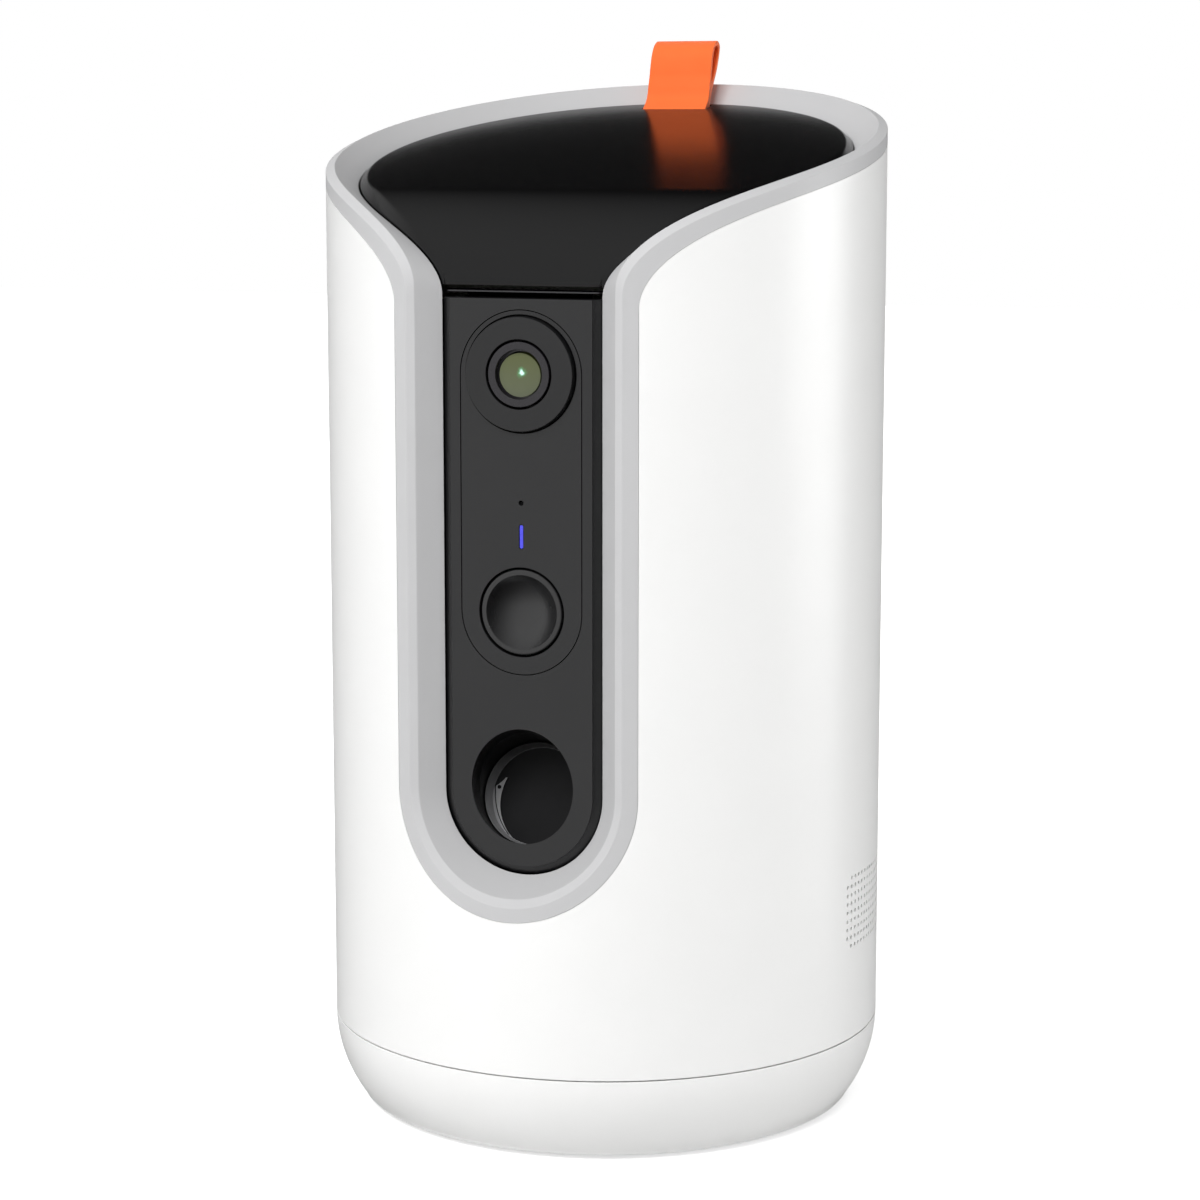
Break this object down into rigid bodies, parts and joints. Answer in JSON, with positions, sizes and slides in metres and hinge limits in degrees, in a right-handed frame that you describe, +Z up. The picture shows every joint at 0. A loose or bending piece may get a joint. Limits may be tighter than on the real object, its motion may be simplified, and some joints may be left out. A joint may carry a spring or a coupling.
{
  "type": "treat tossing pet camera",
  "caption": "Standing white drum with a slanted open rim, lift-off black lid with pull tab, and a black front with camera, button and tilted treat outlet.",
  "frame": {"origin": "on the table, under the middle of the drum", "axes": "+Z up; the front with the camera and the outlet faces -Y; +X is to the right when seen from the front"},
  "size_m": [0.12, 0.12, 0.2312],
  "materials": {
    "shell_white": "moulded ABS, satin white",
    "trim_grey": "moulded ABS, satin pale grey",
    "face_black": "moulded, fine matt grain",
    "panel_black": "moulded, fine matt grain",
    "camera_black": "polished black",
    "lid_black": "moulded, glossy black",
    "lens_glass": "coated lens",
    "light_blue": "milky light pipe, lit blue",
    "tab_orange": "soft silicone, satin orange",
    "foot_rubber": "soft grey silicone",
    "inner_plastic": "moulded, natural white",
    "launcher_black": "moulded, black",
    "bare_steel": "plain steel",
    "board_green": "glass fibre circuit board"
  },
  "bodies": {
    "housing": {"outer_shell": "shell_white", "trim_ring": "trim_grey", "base_cup": "shell_white", "foot_ring": "foot_rubber", "ballast_disc": "bare_steel", "base_screw_1": "bare_steel", "base_screw_2": "bare_steel", "base_screw_3": "bare_steel", "base_screw_4": "bare_steel", "front_plate": "face_black", "sensor_panel": "panel_black", "camera_disc": "camera_black", "lens_ring": "camera_black", "lens_glass": "lens_glass", "camera_module": "launcher_black", "status_light": "light_blue", "microphone": "bare_steel", "button_switch": "launcher_black", "main_board": "board_green", "front_lip": "camera_black", "launch_chute": "launcher_black", "kicker_spring": "bare_steel", "launch_motor": "bare_steel", "mechanism_bed": "inner_plastic", "rotor_tray": "inner_plastic", "rotor_motor": "bare_steel", "feed_duct": "inner_plastic", "hopper": "inner_plastic", "speaker": "launcher_black", "speaker_gasket": "foot_rubber", "power_board": "board_green", "power_socket": "bare_steel", "reset_switch": "launcher_black"},
    "lid": {"lid_cover": "lid_black", "lid_liner": "inner_plastic", "lid_seal": "foot_rubber", "pull_tab": "tab_orange"},
    "toss_button": {"toss_button": "panel_black"},
    "reset_button": {"reset_button": "panel_black"},
    "treat_rotor": {"treat_rotor": "inner_plastic"},
    "kicker": {"kicker": "launcher_black"},
    "launch_gear": {"launch_gear": "inner_plastic"}
  },
  "joints": [
    {"name": "lid_lift", "type": "slide", "parent": "housing", "child": "lid", "axis": [0, 0, 1], "range_m": [0, 0.06]},
    {"name": "toss_button_press", "type": "slide", "parent": "housing", "child": "toss_button", "axis": [0, 1, 0], "range_m": [0, 0.0008], "stiffness_N_per_m": 400, "springref_m": -0.001},
    {"name": "reset_button_press", "type": "slide", "parent": "housing", "child": "reset_button", "axis": [0, -1, 0], "range_m": [0, 0.0005], "stiffness_N_per_m": 400, "springref_m": -0.0005},
    {"name": "rotor_spin", "type": "hinge", "parent": "housing", "child": "treat_rotor", "pos_m": [0, 0.002, 0.11], "axis": [0, 0, 1], "continuous": true},
    {"name": "kicker_slide", "type": "slide", "parent": "housing", "child": "kicker", "axis": [0, 0.9272, -0.3746], "range_m": [0, 0.023], "stiffness_N_per_m": 150, "springref_m": -0.006, "deforming": ["kicker_spring"]},
    {"name": "launch_gear_turn", "type": "hinge", "parent": "housing", "child": "launch_gear", "pos_m": [0, 0.0042, 0.03819], "axis": [1, 0, 0], "range_deg": [-110, 0]}
  ],
  "couplings": [
    {"joint": "launch_gear_turn", "follows": "kicker_slide", "rad_per_m": -83.333}
  ]
}
